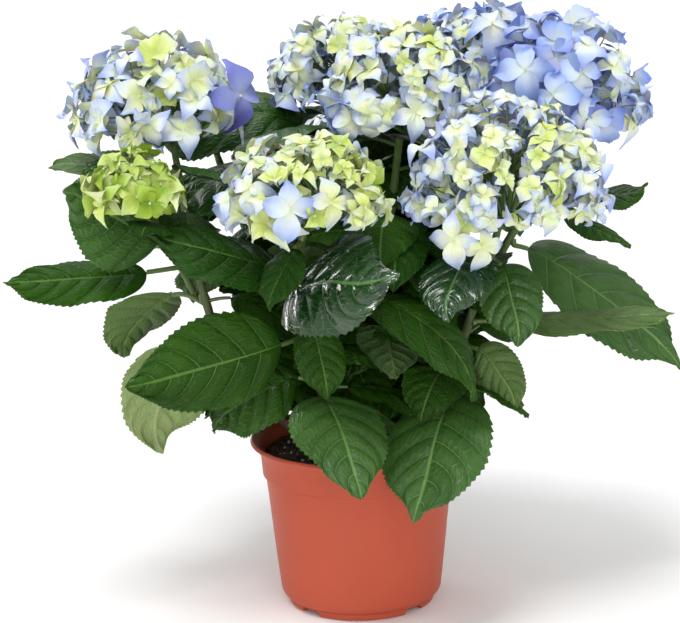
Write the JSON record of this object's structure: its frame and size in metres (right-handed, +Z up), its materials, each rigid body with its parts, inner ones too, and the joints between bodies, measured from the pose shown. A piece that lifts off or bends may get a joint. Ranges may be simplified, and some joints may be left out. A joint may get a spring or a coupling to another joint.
{
  "type": "potted flowering shrub",
  "caption": "Flowering garden shrub with domed heads of four-petalled florets above large toothed leaves on leaning woody stems, in a round tapered pot.",
  "frame": {"origin": "centre of the pot's flat underside, on the surface that it stands on", "axes": "+Z up along the pot's axis, -Y out of the shrub's best side, +X to the right when it is seen from that side"},
  "size_m": [0.4309, 0.3301, 0.3814],
  "materials": {
    "pot": "satin terracotta-coloured moulded plastic",
    "potting_mix": "moist dark crumbly peat with pale specks",
    "bark": "matt green to brown young bark",
    "petals": "soft matt cream to pale blue petals",
    "green_petals": "soft matt lime-green petals",
    "leaf": "dark green quilted leaf with a waxy sheen"
  },
  "bodies": {
    "root": {"pot": "pot", "soil": "potting_mix", "cane_left": "bark", "cane_left_spur": "bark", "cane_top_left": "bark", "cane_centre": "bark", "cane_top_back": "bark", "cane_right": "bark", "cane_front_right": "bark", "cane_front": "bark", "cane_back": "bark", "cane_back_left": "bark", "head_left": "petals", "head_small_green": "green_petals", "head_top_left": "petals", "head_centre": "petals", "head_top_back": "petals", "head_right": "petals", "head_front_right": "petals", "head_front": "petals", "head_back": "petals", "head_back_left": "petals", "leaf_far_left": "leaf", "leaf_left_upper": "leaf", "leaf_left_tip": "leaf", "leaf_left_shadow": "leaf", "leaf_left_hanging": "leaf", "leaf_left_olive": "leaf", "leaf_left_behind": "leaf", "leaf_left_inward": "leaf", "leaf_left_under_head": "leaf", "leaf_inner_left": "leaf", "leaf_top_left": "leaf", "leaf_inner_dark": "leaf", "leaf_front_long": "leaf", "leaf_front_glossy": "leaf", "leaf_front_sweeping": "leaf", "leaf_front_broad": "leaf", "leaf_low_left": "leaf", "leaf_low_front": "leaf", "leaf_front_olive": "leaf", "leaf_front_collar": "leaf", "leaf_low_right": "leaf", "leaf_right_glossy": "leaf", "leaf_right_front": "leaf", "leaf_right_level": "leaf", "leaf_right_folded": "leaf", "leaf_far_right": "leaf", "leaf_right_small": "leaf", "leaf_right_small_low": "leaf", "leaf_low_far_right": "leaf", "leaf_centre_upper": "leaf", "leaf_centre_low": "leaf", "leaf_back_high": "leaf", "leaf_back_low": "leaf", "leaf_back_left_high": "leaf", "leaf_back_left_low": "leaf", "leaf_back_right_high": "leaf", "leaf_back_right_low": "leaf"}
  },
  "joints": []
}
